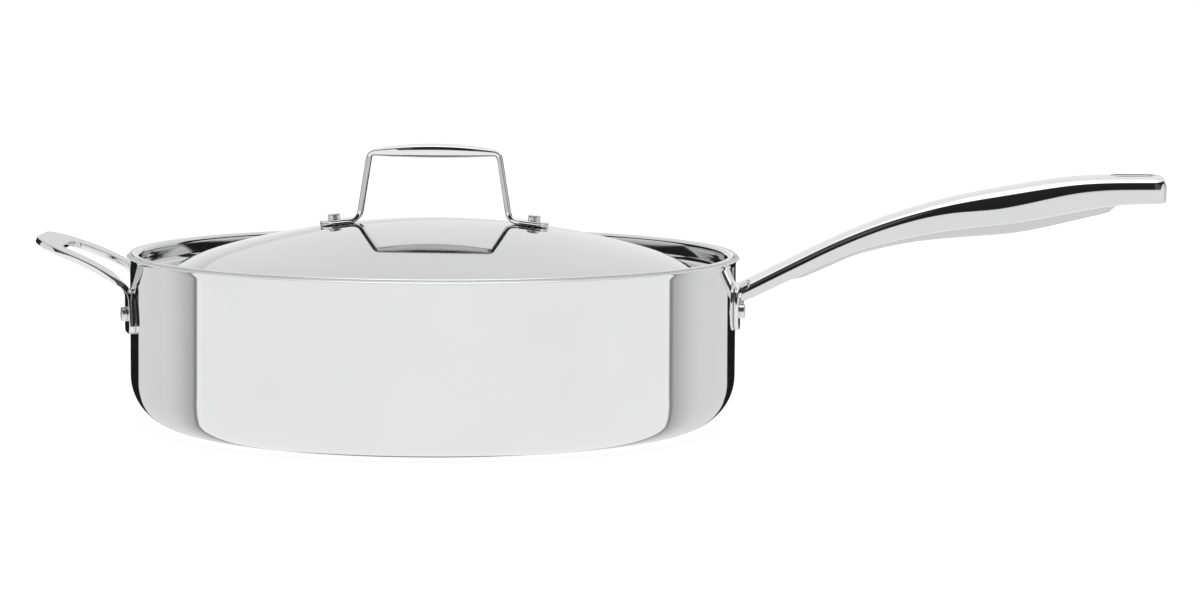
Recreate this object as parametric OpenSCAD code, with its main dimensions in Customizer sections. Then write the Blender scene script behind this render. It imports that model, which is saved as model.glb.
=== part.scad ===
// Covered saute pan: straight-walled clad pan with a hollow long handle, a helper
// handle and a recessed lid with a strap bail. Millimetres, +Z up. The origin is on
// the pan's axis at the face it stands on, and the long handle points along +X.

/* [Pan body] */
// Outside radius of the straight wall
pan_r = 152.1; // [142:0.1:162]
// Height of the rim above the table
pan_h = 86.8; // [70:0.1:120]
// Outside radius of the corner between base and wall
corner_r = 25.4; // [12:0.1:28]
// Thickness of the outer and of the inner steel skin
skin_t = 0.5; // [0.4:0.05:0.6]
// Thickness of the aluminium core
core_t = 1.3; // [1:0.1:1.6]
// Outside radius of the bend that flares the rim
flare_r = 3.5; // [3:0.1:4]
// Angle that the rim flares through
flare_angle = 60; // [50:1:70]

/* [Lid] */
// Height of the dome's crown above the rim
dome_rise = 16.1; // [14:0.1:18]
// Thickness of the lid sheet
lid_t = 0.8; // [0.6:0.1:1]
// Radius of the spherical middle of the dome
dome_r = 400; // [390:1:420]
// How far inside the wall the dome turns into its shoulder
shoulder_in = 42.1; // [40:0.1:45]
// Radius of the shoulder in section
shoulder_r = 95; // [92:1:98]
// Slope at the foot of the shoulder
shoulder_angle = 33; // [31:0.5:34]
// Radius of the two bends at the floor of the groove
groove_r = 4; // [3:0.1:4.5]
// Gap between the lid's drop wall and the pan
drop_gap = 1.5; // [1:0.1:2]
// How far the top of the lid's flange lies below the rim
flange_drop = 0.4; // [0.2:0.1:0.6]
// Gap between the flange's edge and the flare that it rests in
flange_gap = 0.12; // [0.1:0.02:0.3]

/* [Lid bail] */
// Thickness of the strap
bail_t = 2.7; // [2.2:0.1:3.2]
// Width of the strap in its legs
bail_w = 10; // [8:0.5:12]
// Width of the foot
bail_foot_w = 12.5; // [11:0.5:14]
// Width of the grip at its middle
bail_grip_w = 16; // [12:0.5:20]
// Thickness of the grip at its middle
bail_grip_t = 6.7; // [4:0.1:8]
// Half the distance between the foot ends
bail_half = 57.3; // [55:0.1:60]
// Half the distance between the legs at their foot
leg_foot_x = 37.7; // [36:0.1:40]
// Half the distance between the legs at the grip
leg_top_x = 32.5; // [30:0.1:34]
// Height of the grip's middle line above the dome's crown
bail_rise = 34.6; // [28:0.1:45]
// How far the grip's corners lie below its middle
bail_arch = 1.1; // [0.5:0.1:3]
// Half the distance between the lid rivets
lid_rivet_x = 50; // [48:0.5:51]

/* [Long handle] */
// Distance from the pan's wall to the tip
handle_reach = 214.9; // [210:0.1:220]
// Thickness of the handle's sheet
handle_t = 1.2; // [1:0.1:1.4]
// Gap between the wall and the start of the hollow shells
shell_gap = 3.5; // [3.2:0.1:4.5]
// How far the bracket's tongue reaches into the shells
tongue_len = 20; // [10:1:30]
// Corner radius of the tip in plan
tip_r = 6; // [4:0.5:8]
// Length of the hanging slot
hang_len = 21; // [18:0.5:22]
// Width of the hanging slot
hang_w = 9; // [7:0.5:10]
// Distance from the tip to the middle of the hanging slot
hang_in = 16; // [15.5:0.1:17]
// Wall of the slot's liner
liner_t = 1; // [0.8:0.1:1.2]

/* [Bracket and rivets] */
// Thickness of the bracket's plate on the wall
plate_t = 2.4; // [2:0.1:2.8]
// Half the width of the bracket's plate
plate_half = 22; // [20:0.5:26]
// Depth of the plate's lower edge below the rim
plate_drop = 37.4; // [36:0.1:40]
// Height of the bracket's plate
plate_h = 22; // [20:0.5:23]
// Depth of the bracket's rivets below the rim
rivet_drop = 28; // [27.5:0.1:29]
// Radius of the rivets' shanks and of their holes
rivet_r = 2.5; // [2:0.1:3]
// Radius of the heads outside the pan
head_r = 3.6; // [3.4:0.1:4.5]
// Height of the heads outside the pan
head_h = 2.7; // [1.5:0.1:3.5]
// Radius of the low heads inside the pan
inner_head_r = 6; // [5:0.1:7]
// Height of the low heads inside the pan
inner_head_h = 1.6; // [1.2:0.1:2]
// Sideways distance from the long handle's axis to its rivets
handle_rivet_y = 12; // [11:0.5:14]
// Radius of the lid rivets' shanks and holes
lid_rivet_r = 2; // [1.5:0.1:2.4]
// Radius of the lid rivets' upper heads
lid_head_r = 3.1; // [2.8:0.1:4]
// Height of the lid rivets' upper heads
lid_head_h = 2.9; // [1.5:0.1:3.5]

/* [Helper handle] */
// Distance from the pan's axis to the outer end, less the pan's radius
helper_reach = 46.1; // [44:0.1:50]
// Thickness of the plate it is bent from
helper_t = 2.8; // [2.4:0.1:3.4]
// Half the width of the loop where it leaves the wall
helper_half = 39.9; // [38:0.1:42]
// Corner radius of the loop's outer end
helper_end_r = 24; // [18:0.5:26]
// Depth of the grip between the slot and the outer end
helper_grip = 12.9; // [11:0.1:16]
// Half the width of the slot where the loop leaves the wall
slot_half = 26.2; // [24:0.1:28]
// Corner radius of the slot
slot_r = 7.3; // [5:0.1:8]
// Radius of the bend between foot and arm, on its upper face
bend_r = 10; // [8:0.5:12]
// Depth of the feet's lower edge below the rim
foot_drop = 38.5; // [37:0.1:40]
// Sideways distance from the axis to the helper rivets
helper_rivet_y = 38; // [37:0.5:39]
// Depth of the helper rivets below the rim
helper_rivet_drop = 29.3; // [28.5:0.1:30]

/* [Hidden] */

fine = 180;
medium = 96;
small = 48;

wall_t = 2 * skin_t + core_t;
inner_r = pan_r - wall_t;
flare_x = pan_r + flare_r;
flare_z = pan_h - (flare_r + wall_t) * sin(flare_angle);
plate_low = pan_h - plate_drop;
rivet_z = pan_h - rivet_drop;
helper_rivet_z = pan_h - helper_rivet_drop;
handle_rivet_turn = asin(handle_rivet_y / (pan_r + plate_t));
helper_rivet_turn = asin(helper_rivet_y / (pan_r + helper_t));

// The handle's lines are drawn for a wall of this radius and a rim at this height, and
// the finished handle is then moved to the wall and the rim of the pan at hand
drawn_r = 152.1;
drawn_h = 86.8;
shell_start = drawn_r + shell_gap;
handle_tip = drawn_r + handle_reach;
hang_x = handle_tip - hang_in;

// Handle lines as [distance from the pan's axis, height or half width]
top_line = [[150, 70], [180, 85.1], [205, 97.3], [230, 107.4], [260, 116.4], [290, 122.4],
    [320, 126.9], [345, 128], [400, 128]];
seam_line = [[150, 60.8], [165, 67.6], [180, 74.8], [197, 82.8], [214, 89.8], [240, 96.5],
    [265, 101], [290, 104], [303, 106.2], [315, 108.6], [333, 112], [350, 114], [400, 114.6]];
belly_line = [[150, 0], [178, 0], [186, 2.2], [215, 2.3], [240, 2.9], [268, 4.8], [290, 5.4],
    [310, 5], [325, 4.3], [338, 3.2], [343, 0], [400, 0]];
width_line = [[150, 11], [160, 10.3], [180, 9.3], [205, 9.5], [235, 11], [265, 12.3],
    [295, 13], [325, 13], [350, 12.6], [400, 12.5]];

// Dome section, measured on the lid's upper face
lid_top = pan_h + dome_rise;
cap_z = lid_top - dome_r;
shoulder_at = pan_r - shoulder_in;
dome_turn = asin(shoulder_at / dome_r);
shoulder_x = shoulder_at - shoulder_r * sin(dome_turn);
shoulder_z = cap_z + (dome_r - shoulder_r) * cos(dome_turn);
fillet_x = shoulder_x + (shoulder_r + groove_r) * sin(shoulder_angle);
fillet_z = shoulder_z + (shoulder_r + groove_r) * cos(shoulder_angle);
groove_z = fillet_z - groove_r;
drop_r = inner_r - drop_gap - lid_t;
flange_bend = 1.5;
flange_top = pan_h - flange_drop;
flange_low = flange_top - lid_t;
flange_reach = flare_x - sqrt(pow(flare_r + wall_t, 2) - pow(flange_low - flare_z, 2)) - flange_gap;
bend_z = flange_low - flange_bend;
lid_turn = asin(lid_rivet_x / dome_r);

// Smooth curve through the points of a line, at distance x
function segment(p, x, i = 0) = (i >= len(p) - 2 || x < p[i + 1][0]) ? i : segment(p, x, i + 1);
function slope_at(p, i) = let (a = p[max(i - 1, 0)], b = p[min(i + 1, len(p) - 1)])
    (b[1] - a[1]) / (b[0] - a[0]);
function on_line(p, x) = let (i = segment(p, x), h = p[i + 1][0] - p[i][0],
    t = (x - p[i][0]) / h, m1 = slope_at(p, i) * h, m2 = slope_at(p, i + 1) * h)
    (2 * pow(t, 3) - 3 * t * t + 1) * p[i][1] + (pow(t, 3) - 2 * t * t + t) * m1
    + (3 * t * t - 2 * pow(t, 3)) * p[i + 1][1] + (pow(t, 3) - t * t) * m2;

function unit(v) = v / norm(v);

// Rounded plan of the tip: how much narrower the handle is at distance x
function tip_inset(x, tip, r) = x <= tip - r ? 0 : r - sqrt(max(0, r * r - pow(x - tip + r, 2)));
function half_width(x, tip, r) = on_line(width_line, x) - tip_inset(x, tip, r);

// Oval with half axes a and b: n = 2 is an ellipse, a larger n squares its corners
function oval_y(a, turn, n) = a * sign(cos(turn)) * pow(abs(cos(turn)), 2 / n);
function oval_z(b, turn, n) = b * sign(sin(turn)) * pow(abs(sin(turn)), 2 / n);

// Closed skin over a list of rings that all have the same number of points
module skin(rings) {
    n = len(rings[0]);
    m = len(rings);
    sides = [for (i = [0:m - 2]) for (j = [0:n - 1]) let (a = i * n + j, b = i * n + (j + 1) % n)
        each [[a, b, b + n], [a, b + n, a + n]]];
    ends = [[for (j = [n - 1:-1:0]) j], [for (j = [0:n - 1]) (m - 1) * n + j]];
    polyhedron(points = [for (ring = rings) each ring], faces = concat(sides, ends), convexity = 6);
}

// Section of the handle's outside at x, or of its hollow when wall > 0
ring_points = 28;
crown_n = 3.2;
flank_n = 12;
function handle_ring(x, tip, wall, below) = let (
    top = on_line(top_line, x) - wall,
    low = on_line(seam_line, x) - below,
    mid = (top + on_line(seam_line, x)) / 2,
    half = half_width(x, tip, tip_r - wall) - wall)
    [for (k = [0:ring_points - 1]) let (turn = -k * 360 / ring_points)
        turn > -180 && turn < 0
            ? [x, oval_y(half, turn, flank_n), mid + oval_z(mid - low, turn, flank_n)]
            : [x, oval_y(half, turn, crown_n), mid + oval_z(top - mid, turn, crown_n)]];

station_step = 6;
tip_steps = [7, 5, 3.2, 1.8, 0.8, 0.2, 0];
function handle_stations(from, to) = concat(
    [for (x = [from:station_step:to - tip_steps[0] - 3]) x], [for (d = tip_steps) to - d]);

// Section of the lower shell: a shallow channel, out along its face and back inside
belly_points = 12;
belly_n = 4;
belly_step = 4.6;
rim_h = 2.4;
rim_slope = 0.15;
weld_gap = 0.15;
function belly_ring(x) = let (
    half = half_width(x, handle_tip - handle_t, tip_r) - handle_t - weld_gap,
    rim = on_line(seam_line, x) + rim_h,
    deep = rim_h + max(0, on_line(belly_line, x)),
    turns = [for (k = [0:belly_points]) -k * 180 / belly_points])
    concat(
        [for (turn = turns) [x, oval_y(half, turn, belly_n), rim + oval_z(deep, turn, belly_n)]],
        [for (k = [belly_points:-1:0]) [x, oval_y(half - handle_t, turns[k], belly_n),
            rim - rim_slope + oval_z(deep - handle_t - rim_slope, turns[k], belly_n)]]);

// Section of the solid neck at x, smaller by side and by clear
neck_n = 8;
function neck_ring(x, side, clear) = let (
    top = on_line(top_line, x) - clear,
    low = on_line(seam_line, x) + clear,
    mid = (top + low) / 2,
    half = on_line(width_line, x) - side)
    [for (k = [0:ring_points - 1]) let (
        turn = -k * 360 / ring_points,
        n = turn > -180 && turn < 0 ? neck_n : crown_n)
        [x, oval_y(half, turn, n), mid + oval_z((top - low) / 2, turn, n)]];

// Rectangle with round corners, centred
module round_rect(w, h, r) {
    square([w - 2 * r, h], center = true);
    square([w, h - 2 * r], center = true);
    for (sx = [-1, 1]) for (sy = [-1, 1])
        translate([sx * (w / 2 - r), sy * (h / 2 - r)]) circle(r = r, $fn = small);
}

// Plate that lies on the wall at +X, with round corners
module wall_plate(half, low, high, r) {
    intersection() {
        difference() {
            cylinder(r = pan_r + plate_t, h = pan_h, $fn = fine);
            translate([0, 0, -1]) cylinder(r = pan_r, h = pan_h + 2, $fn = fine);
        }
        translate([pan_r - 20, 0, (low + high) / 2]) rotate([90, 0, 90])
            linear_extrude(40) round_rect(2 * half, high - low, r);
    }
}

// Radial holes for rivets at turns about the axis, at height z
module rivet_holes(turns, z) {
    for (turn = turns) rotate([0, 0, turn]) translate([inner_r - 5, 0, z]) rotate([0, 90, 0])
        cylinder(r = rivet_r, h = wall_t + 12, $fn = small);
}

handle_turns = [-handle_rivet_turn, handle_rivet_turn];
helper_turns = [180 - helper_rivet_turn, 180 + helper_rivet_turn];

// One layer of the clad sheet, between depths d0 and d1 below its outer face
module sheet_section(d0, d1) {
    translate([0, d0]) square([pan_r - corner_r, d1 - d0]);
    translate([pan_r - corner_r, corner_r]) intersection() {
        difference() {
            circle(r = corner_r - d0, $fn = medium);
            circle(r = corner_r - d1, $fn = medium);
        }
        translate([0, -corner_r]) square(corner_r);
    }
    translate([pan_r - d1, corner_r]) square([d1 - d0, flare_z - corner_r]);
    translate([flare_x, flare_z]) intersection() {
        difference() {
            circle(r = flare_r + d1, $fn = medium);
            circle(r = flare_r + d0, $fn = medium);
        }
        polygon([[0, 0], [-3 * flare_r, 0],
            [-3 * flare_r, 3 * flare_r * tan(flare_angle)]]);
    }
}

module clad_layer(d0, d1) {
    difference() {
        rotate_extrude($fn = fine) sheet_section(d0, d1);
        rivet_holes(handle_turns, rivet_z);
        rivet_holes(helper_turns, helper_rivet_z);
    }
}

module pan_outer_skin() {
    color("gainsboro") clad_layer(0, skin_t);
}

module pan_core() {
    color("darkgray") clad_layer(skin_t, skin_t + core_t);
}

module pan_inner_skin() {
    color("lightgray") clad_layer(skin_t + core_t, wall_t);
}

// Rivet set radially through plate and wall: low head inside, round head outside.
// The flat inner head stands off by the sag of the round wall under it.
head_edge = 0.7;
inner_edge = 1.4;
head_gap = 0.02;
module wall_rivet(turn, z, thick) {
    sag = inner_r - sqrt(inner_r * inner_r - inner_head_r * inner_head_r) + 0.02;
    tall = inner_head_h - sag;
    color("silver") rotate([0, 0, turn]) translate([0, 0, z]) rotate([0, 90, 0]) {
        translate([0, 0, inner_r - inner_head_h]) rotate_extrude($fn = small)
            polygon([[0, 0], [inner_head_r - inner_edge, 0], [inner_head_r - inner_edge / 3, tall / 2],
                [inner_head_r, tall], [0, tall]]);
        translate([0, 0, inner_r - inner_head_h]) cylinder(r = rivet_r,
            h = inner_head_h + wall_t + thick + head_h / 2, $fn = small);
        translate([0, 0, pan_r + thick]) rotate_extrude($fn = small)
            polygon([[0, 0], [head_r, 0], [head_r, head_h - head_edge],
                [head_r - head_edge, head_h], [0, head_h]]);
    }
}

module handle_rivet_near() {
    wall_rivet(-handle_rivet_turn, rivet_z, plate_t);
}

module handle_rivet_far() {
    wall_rivet(handle_rivet_turn, rivet_z, plate_t);
}

module helper_rivet_near() {
    wall_rivet(180 + helper_rivet_turn, helper_rivet_z, helper_t + foot_gap + head_gap);
}

module helper_rivet_far() {
    wall_rivet(180 - helper_rivet_turn, helper_rivet_z, helper_t + foot_gap + head_gap);
}

// Moves the handle from where its lines are drawn to this pan's wall and rim
module to_wall() {
    translate([pan_r - drawn_r, 0, pan_h - drawn_h]) children();
}

// Plate on the wall, the root of the neck, and the tongue that the shells close over
plate_corner = 7;
tongue_side = 1.6;
tongue_clear = 0.3;
module handle_bracket() {
    root_steps = 4;
    root_from = drawn_r - 4;
    root_step = (shell_start - root_from) / root_steps;
    color("silver") difference() {
        union() {
            wall_plate(plate_half, plate_low, plate_low + plate_h, plate_corner);
            difference() {
                to_wall() skin([for (k = [0:root_steps]) neck_ring(root_from + k * root_step, 0, 0)]);
                cylinder(r = pan_r, h = pan_h, $fn = fine);
            }
            to_wall() skin([for (x = [-2, tongue_len / 2, tongue_len])
                neck_ring(shell_start + x, handle_t + tongue_side, handle_t + tongue_clear)]);
        }
        rivet_holes(handle_turns, rivet_z);
    }
}

// Upright slot with round ends through the tip of the handle
liner_low = 113.7;
liner_high = 128.2;
module hang_slot(grow, low, high) {
    straight = hang_len - hang_w;
    translate([hang_x, 0, low]) linear_extrude(high - low) {
        square([straight, hang_w + 2 * grow], center = true);
        for (s = [-1, 1])
            translate([s * straight / 2, 0]) circle(r = hang_w / 2 + grow, $fn = small);
    }
}

// The hollow is open below, and the lower shell closes it
module handle_upper_shell() {
    color("gainsboro") to_wall() difference() {
        skin([for (x = handle_stations(shell_start, handle_tip)) handle_ring(x, handle_tip, 0, 0)]);
        skin([for (x = handle_stations(shell_start - station_step, handle_tip - handle_t))
            handle_ring(x, handle_tip - handle_t, handle_t, 8)]);
        hang_slot(liner_t, liner_low - 5, liner_high + 5);
    }
}

module handle_lower_shell() {
    color("lightgray") to_wall() difference() {
        skin([for (x = [shell_start:belly_step:handle_tip - 4]) belly_ring(x)]);
        hang_slot(liner_t, liner_low - 5, liner_high + 5);
    }
}

module hang_slot_liner() {
    color("silver") to_wall() difference() {
        hang_slot(liner_t, liner_low, liner_high);
        hang_slot(0, liner_low - 1, liner_high + 1);
    }
}

// The helper is one plate bent twice. Its upper face is drawn in side view as
// [distance out from the wall at the rivets, height from the rim], beyond the bend.
loop_mid_y = 36;
foot_x = sqrt(pan_r * pan_r - loop_mid_y * loop_mid_y);
loop_end = pan_r + helper_reach - foot_x;
slot_end = loop_end - helper_grip;
arm_at = 4.2;
helper_line = [[arm_at, -14], [8.2, -11.3], [12.2, -8.8], [20.2, -4.6], [28.2, -1.1],
    [36.2, 1.9], [44.2, 4.9], [54, 8.7]];
outer_taper = 8.5;
slot_taper = 14.5;
bend_turn = 54;
bend_low = -22;

// Half widths of a foot, outer and inner edge, against the height from the rim
foot_outer = [[-38, 50], [-22, 45.3], [-14, helper_half]];
foot_inner = [[-38, 27], [-20, 27], [-14, slot_half]];
foot_corner = 5;
function foot_inset(h) = h >= foot_corner ? 0
    : foot_corner - sqrt(pow(foot_corner, 2) - pow(foot_corner - h, 2));

// Flat bar with round edges as [across, depth], upper face at depth 0
edge_steps = 3;
face_steps = 5;
bar_edge = 1;
function bar_corner(u, v, from) = [for (k = [0:edge_steps]) let (a = from - 90 * k / edge_steps)
    [u + bar_edge * cos(a), v + bar_edge * sin(a)]];
function bar_section(half) = let (
    inner = half - bar_edge,
    low = bar_edge - helper_t)
    concat(
        [for (k = [1:face_steps - 1]) [inner * (2 * k / face_steps - 1), 0]],
        bar_corner(inner, -bar_edge, 90),
        bar_corner(inner, low, 0),
        [for (k = [1:face_steps - 1]) [inner * (1 - 2 * k / face_steps), -helper_t]],
        bar_corner(-inner, low, -90),
        bar_corner(-inner, -bar_edge, 180));

// A point of the helper: e out from the wall, y aside, height z and steepness a of the
// upper face there, and depth v under it. The feet follow the round wall, the arms don't.
round_len = 12;
foot_gap = 0.04;
function helper_point(e, y, z, a, v) = let (
    flat = min(1, max(0, e) / round_len),
    out = foot_gap + e - v * cos(a))
    [-(1 - flat) * sqrt(pow(pan_r + out, 2) - y * y) - flat * (foot_x + out), y, pan_h + z + v * sin(a)];

function foot_ring(e, z, a) = let (
    inset = foot_inset(z + foot_drop),
    y0 = on_line(foot_inner, z) + inset,
    y1 = on_line(foot_outer, z) - inset)
    [for (q = bar_section((y1 - y0) / 2)) helper_point(e, (y0 + y1) / 2 + q[0], z, a, q[1])];

// Ring of the loop between a point p of the slot's edge and a point q of the outer edge
function loop_ring(p, q) = let (mid = (p + q) / 2, along = unit(q - p))
    [for (w = bar_section(norm(q - p) / 2)) let (
        at = mid + w[0] * along,
        rise = on_line(helper_line, at[0] + 0.5) - on_line(helper_line, at[0] - 0.5))
        helper_point(at[0], at[1], on_line(helper_line, at[0]), 90 - atan(rise), w[1])];

// Edge of the loop at share t: along the arm up to share 1, then round the corner
function edge_point(t, half, taper, r, end) = let (
    c = [end - r, half - (end - r - arm_at) * tan(taper) - r / cos(taper)],
    turn = t <= 1 ? taper : taper + (90 - taper) * (t - 1),
    start = c + r * [sin(taper), cos(taper)])
    t <= 1 ? [arm_at, half] + t * (start - [arm_at, half]) : c + r * [sin(turn), cos(turn)];

foot_steps = [0, 0.25, 0.8, 1.8, 3.3, 5, 9, 13];
bend_steps = 5;
arm_steps = 5;
corner_steps = 10;
half_helper = concat(
    [for (h = foot_steps) foot_ring(0, h - foot_drop, 0)],
    [for (k = [0:bend_steps]) let (a = bend_turn * k / bend_steps)
        foot_ring(bend_r * (1 - cos(a)), bend_low + bend_r * sin(a), a)],
    [for (k = [1:arm_steps + corner_steps]) let (
        t = k <= arm_steps ? k / arm_steps : 1 + (k - arm_steps) / corner_steps)
        loop_ring(edge_point(t, slot_half, slot_taper, slot_r, slot_end),
            edge_point(t, helper_half, outer_taper, helper_end_r, loop_end))]);
helper_middle = loop_ring([slot_end, 0], [loop_end, 0]);

module helper_handle() {
    near = [for (ring = half_helper) [for (p = ring) [p[0], -p[1], p[2]]]];
    far = [for (k = [len(half_helper) - 1:-1:0]) half_helper[k]];
    color("gainsboro") difference() {
        skin(concat(near, [helper_middle], far));
        rivet_holes(helper_turns, helper_rivet_z);
    }
}

// Band of a circle between two radii, over the turns from a to b, counted from +X.
// Neighbours lap by a hair, so that the sheet is one piece.
lap = 0.03;
module arc_band(r0, r1, from, to) {
    a = from - lap / r0 * 180 / PI;
    b = to == 90 ? 90 : to + lap / r0 * 180 / PI;
    reach = 2 * r1;
    facets = r1 > 50 ? 720 : medium;
    intersection() {
        difference() {
            circle(r = r1, $fn = facets);
            circle(r = r0, $fn = facets);
        }
        polygon([[0, 0], reach * [cos(a), sin(a)], reach * [cos((a + b) / 2), sin((a + b) / 2)],
            reach * [cos(b), sin(b)]]);
    }
}

module lid_section() {
    flange_x = drop_r + lid_t + flange_bend;
    translate([0, cap_z]) arc_band(dome_r - lid_t, dome_r, 90 - dome_turn, 90);
    translate([shoulder_x, shoulder_z])
        arc_band(shoulder_r - lid_t, shoulder_r, 90 - shoulder_angle, 90 - dome_turn);
    translate([fillet_x, fillet_z])
        arc_band(groove_r, groove_r + lid_t, 270 - shoulder_angle, 270);
    translate([fillet_x, groove_z - lid_t]) square([drop_r - groove_r - fillet_x, lid_t]);
    translate([drop_r - groove_r, groove_z + groove_r])
        arc_band(groove_r, groove_r + lid_t, 270, 360);
    translate([drop_r, groove_z + groove_r]) square([lid_t, bend_z - groove_z - groove_r]);
    translate([flange_x, bend_z]) arc_band(flange_bend, flange_bend + lid_t, 90, 180);
    translate([flange_x, flange_low]) square([flange_reach - lid_t / 2 - flange_x, lid_t]);
    translate([flange_reach - lid_t / 2, flange_low + lid_t / 2]) circle(r = lid_t / 2, $fn = small);
}

// Axis of a lid rivet, square to the dome; heights count from the dome's upper face
module on_dome(side) {
    translate([0, 0, cap_z]) rotate([0, side * lid_turn, 0]) translate([0, 0, dome_r]) children();
}

module lid_rivet_holes() {
    for (side = [-1, 1])
        on_dome(side) translate([0, 0, -6]) cylinder(r = lid_rivet_r, h = 14, $fn = small);
}

module lid_shell() {
    color("gainsboro") difference() {
        rotate_extrude($fn = fine) lid_section();
        lid_rivet_holes();
    }
}

// Middle line of the bail for x >= 0: foot along the dome, bend, leg, corner, grip
bail_gap = 0.06;
foot_lift = dome_r + bail_gap + bail_t / 2;
function foot_at(x) = foot_lift * [x / dome_r, sqrt(1 - pow(x / dome_r, 2))] + [0, cap_z];
foot_end = foot_at(bail_half);
foot_root = foot_at(leg_foot_x);
bail_corner_z = lid_top + bail_rise - bail_arch;
leg_top = [leg_top_x, bail_corner_z];
grip_next = [leg_top_x - 8, bail_corner_z + 0.5];
bend_cut = 4.5;
bend_parts = 6;
grip_steps = 7;
// Points of a corner at p between a and b, rounded by a parabola
function rounded(a, p, b) = let (q = p + bend_cut * unit(a - p), s = p + bend_cut * unit(b - p))
    [for (k = [0:bend_parts]) let (t = k / bend_parts)
        (1 - t) * (1 - t) * q + 2 * t * (1 - t) * p + t * t * s];
half_path = concat(
    [for (share = [0, 0.02, 0.06, 0.13, 0.22, 0.4, 0.6])
        foot_at(bail_half + (leg_foot_x - bail_half) * share)],
    rounded(foot_end, foot_root, leg_top),
    [(foot_root + leg_top) / 2],
    rounded(foot_root, leg_top, grip_next),
    [for (k = [1:grip_steps]) let (x = (leg_top_x - bend_cut - 0.5) * (1 - k / grip_steps))
        [x, bail_corner_z + bail_arch * (1 - pow(x / leg_top_x, 2))]]);
other_half = [for (k = [len(half_path) - 2:-1:0]) [-half_path[k][0], half_path[k][1]]];
bail_path = concat(half_path, other_half);

// Half width and half thickness of the strap at a point of its middle line
function grip_share(p) = p[1] > bail_corner_z - 1 && abs(p[0]) < leg_top_x
    ? 1 - pow(abs(p[0]) / leg_top_x, 2) : 0;
function foot_share(p) = min(1, max(0, (abs(p[0]) - leg_foot_x) / 6));
function end_inset(p) = let (r = bail_foot_w / 2, in = abs(p[0]) - bail_half + r)
    sqrt(max(0.02, 1 - pow(max(0, in / r), 2)));
function bail_half_w(p) = (bail_w + (bail_grip_w - bail_w) * grip_share(p)
    + (bail_foot_w - bail_w) * foot_share(p)) / 2 * end_inset(p);
function bail_half_t(p) = (bail_t + (bail_grip_t - bail_t) * grip_share(p)) / 2;

bail_points = 16;
bail_n = 3;
function bail_ring(i) = let (
    p = bail_path[i],
    along = unit(bail_path[min(i + 1, len(bail_path) - 1)] - bail_path[max(i - 1, 0)]),
    up = [-along[1], along[0]])
    [for (k = [0:bail_points - 1]) let (
        turn = -k * 360 / bail_points,
        q = p + up * oval_z(bail_half_t(p), turn, bail_n))
        [q[0], oval_y(bail_half_w(p), turn, bail_n), q[1]]];

module lid_bail() {
    color("gainsboro") difference() {
        skin([for (i = [0:len(bail_path) - 1]) bail_ring(i)]);
        lid_rivet_holes();
    }
}

// Rivet through bail and lid: low head under the lid, round head on the bail's foot
lid_low_r = 4.2;
lid_low_h = 1.1;
low_gap = 0.05;
module lid_rivet(side) {
    top = bail_gap + bail_t;
    low = -lid_t - lid_low_h;
    tall = lid_low_h - low_gap;
    color("silver") on_dome(side) {
        translate([0, 0, low]) cylinder(r = lid_rivet_r, h = top - low + lid_head_h / 2, $fn = small);
        translate([0, 0, low]) rotate_extrude($fn = small)
            polygon([[0, 0], [lid_low_r - 0.8, 0], [lid_low_r, tall / 2], [lid_low_r, tall], [0, tall]]);
        translate([0, 0, top]) rotate_extrude($fn = small)
            polygon([[0, 0], [lid_head_r, 0], [lid_head_r, lid_head_h - head_edge],
                [lid_head_r - head_edge, lid_head_h], [0, lid_head_h]]);
    }
}

module lid_rivet_left() {
    lid_rivet(-1);
}

module lid_rivet_right() {
    lid_rivet(1);
}

pan_outer_skin();
pan_core();
pan_inner_skin();
handle_bracket();
handle_upper_shell();
handle_lower_shell();
hang_slot_liner();
handle_rivet_near();
handle_rivet_far();
helper_handle();
helper_rivet_near();
helper_rivet_far();
lid_shell();
lid_bail();
lid_rivet_left();
lid_rivet_right();
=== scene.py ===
# %% [markdown]
# # A covered saute pan in polished steel
#
# The real object is a straight-walled clad pan with a hollow long handle, a helper
# handle on the other side, and a recessed lid with a strap bail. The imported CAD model
# is the frame: it gives every size and place. Each piece below is modelled again with
# finer edges and gets the finish of the real metal.

# %% Load the frame
from math import asin, atan2, cos, degrees, hypot, pi, radians, sin, sqrt, tan

import bpy
from mathutils import Matrix, Vector


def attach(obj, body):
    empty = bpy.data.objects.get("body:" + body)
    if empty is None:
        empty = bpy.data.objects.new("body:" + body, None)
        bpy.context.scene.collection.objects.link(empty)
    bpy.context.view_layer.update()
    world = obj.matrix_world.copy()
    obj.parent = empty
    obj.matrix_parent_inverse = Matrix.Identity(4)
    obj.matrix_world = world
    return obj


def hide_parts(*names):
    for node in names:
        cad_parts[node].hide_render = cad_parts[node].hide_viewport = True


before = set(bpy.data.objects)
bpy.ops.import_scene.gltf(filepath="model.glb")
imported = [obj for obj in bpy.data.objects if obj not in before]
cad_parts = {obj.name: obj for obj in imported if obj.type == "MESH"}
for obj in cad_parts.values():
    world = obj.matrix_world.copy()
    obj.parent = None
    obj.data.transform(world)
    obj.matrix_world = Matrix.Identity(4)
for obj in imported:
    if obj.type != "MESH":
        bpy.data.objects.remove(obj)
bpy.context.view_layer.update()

MM = 0.001


def in_mm(box):
    """The corners of a box, rounded for printing."""
    return [[round(c / MM, 1) for c in corner] for corner in box]


# %% [markdown]
# ## Camera
#
# The photograph is taken from a little above the rim, from well in front of the pan.
# The camera could be aimed at an empty, but its place and turn were measured against
# the pan's outline, so the three axes are written out from pitch, yaw and roll.

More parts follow.
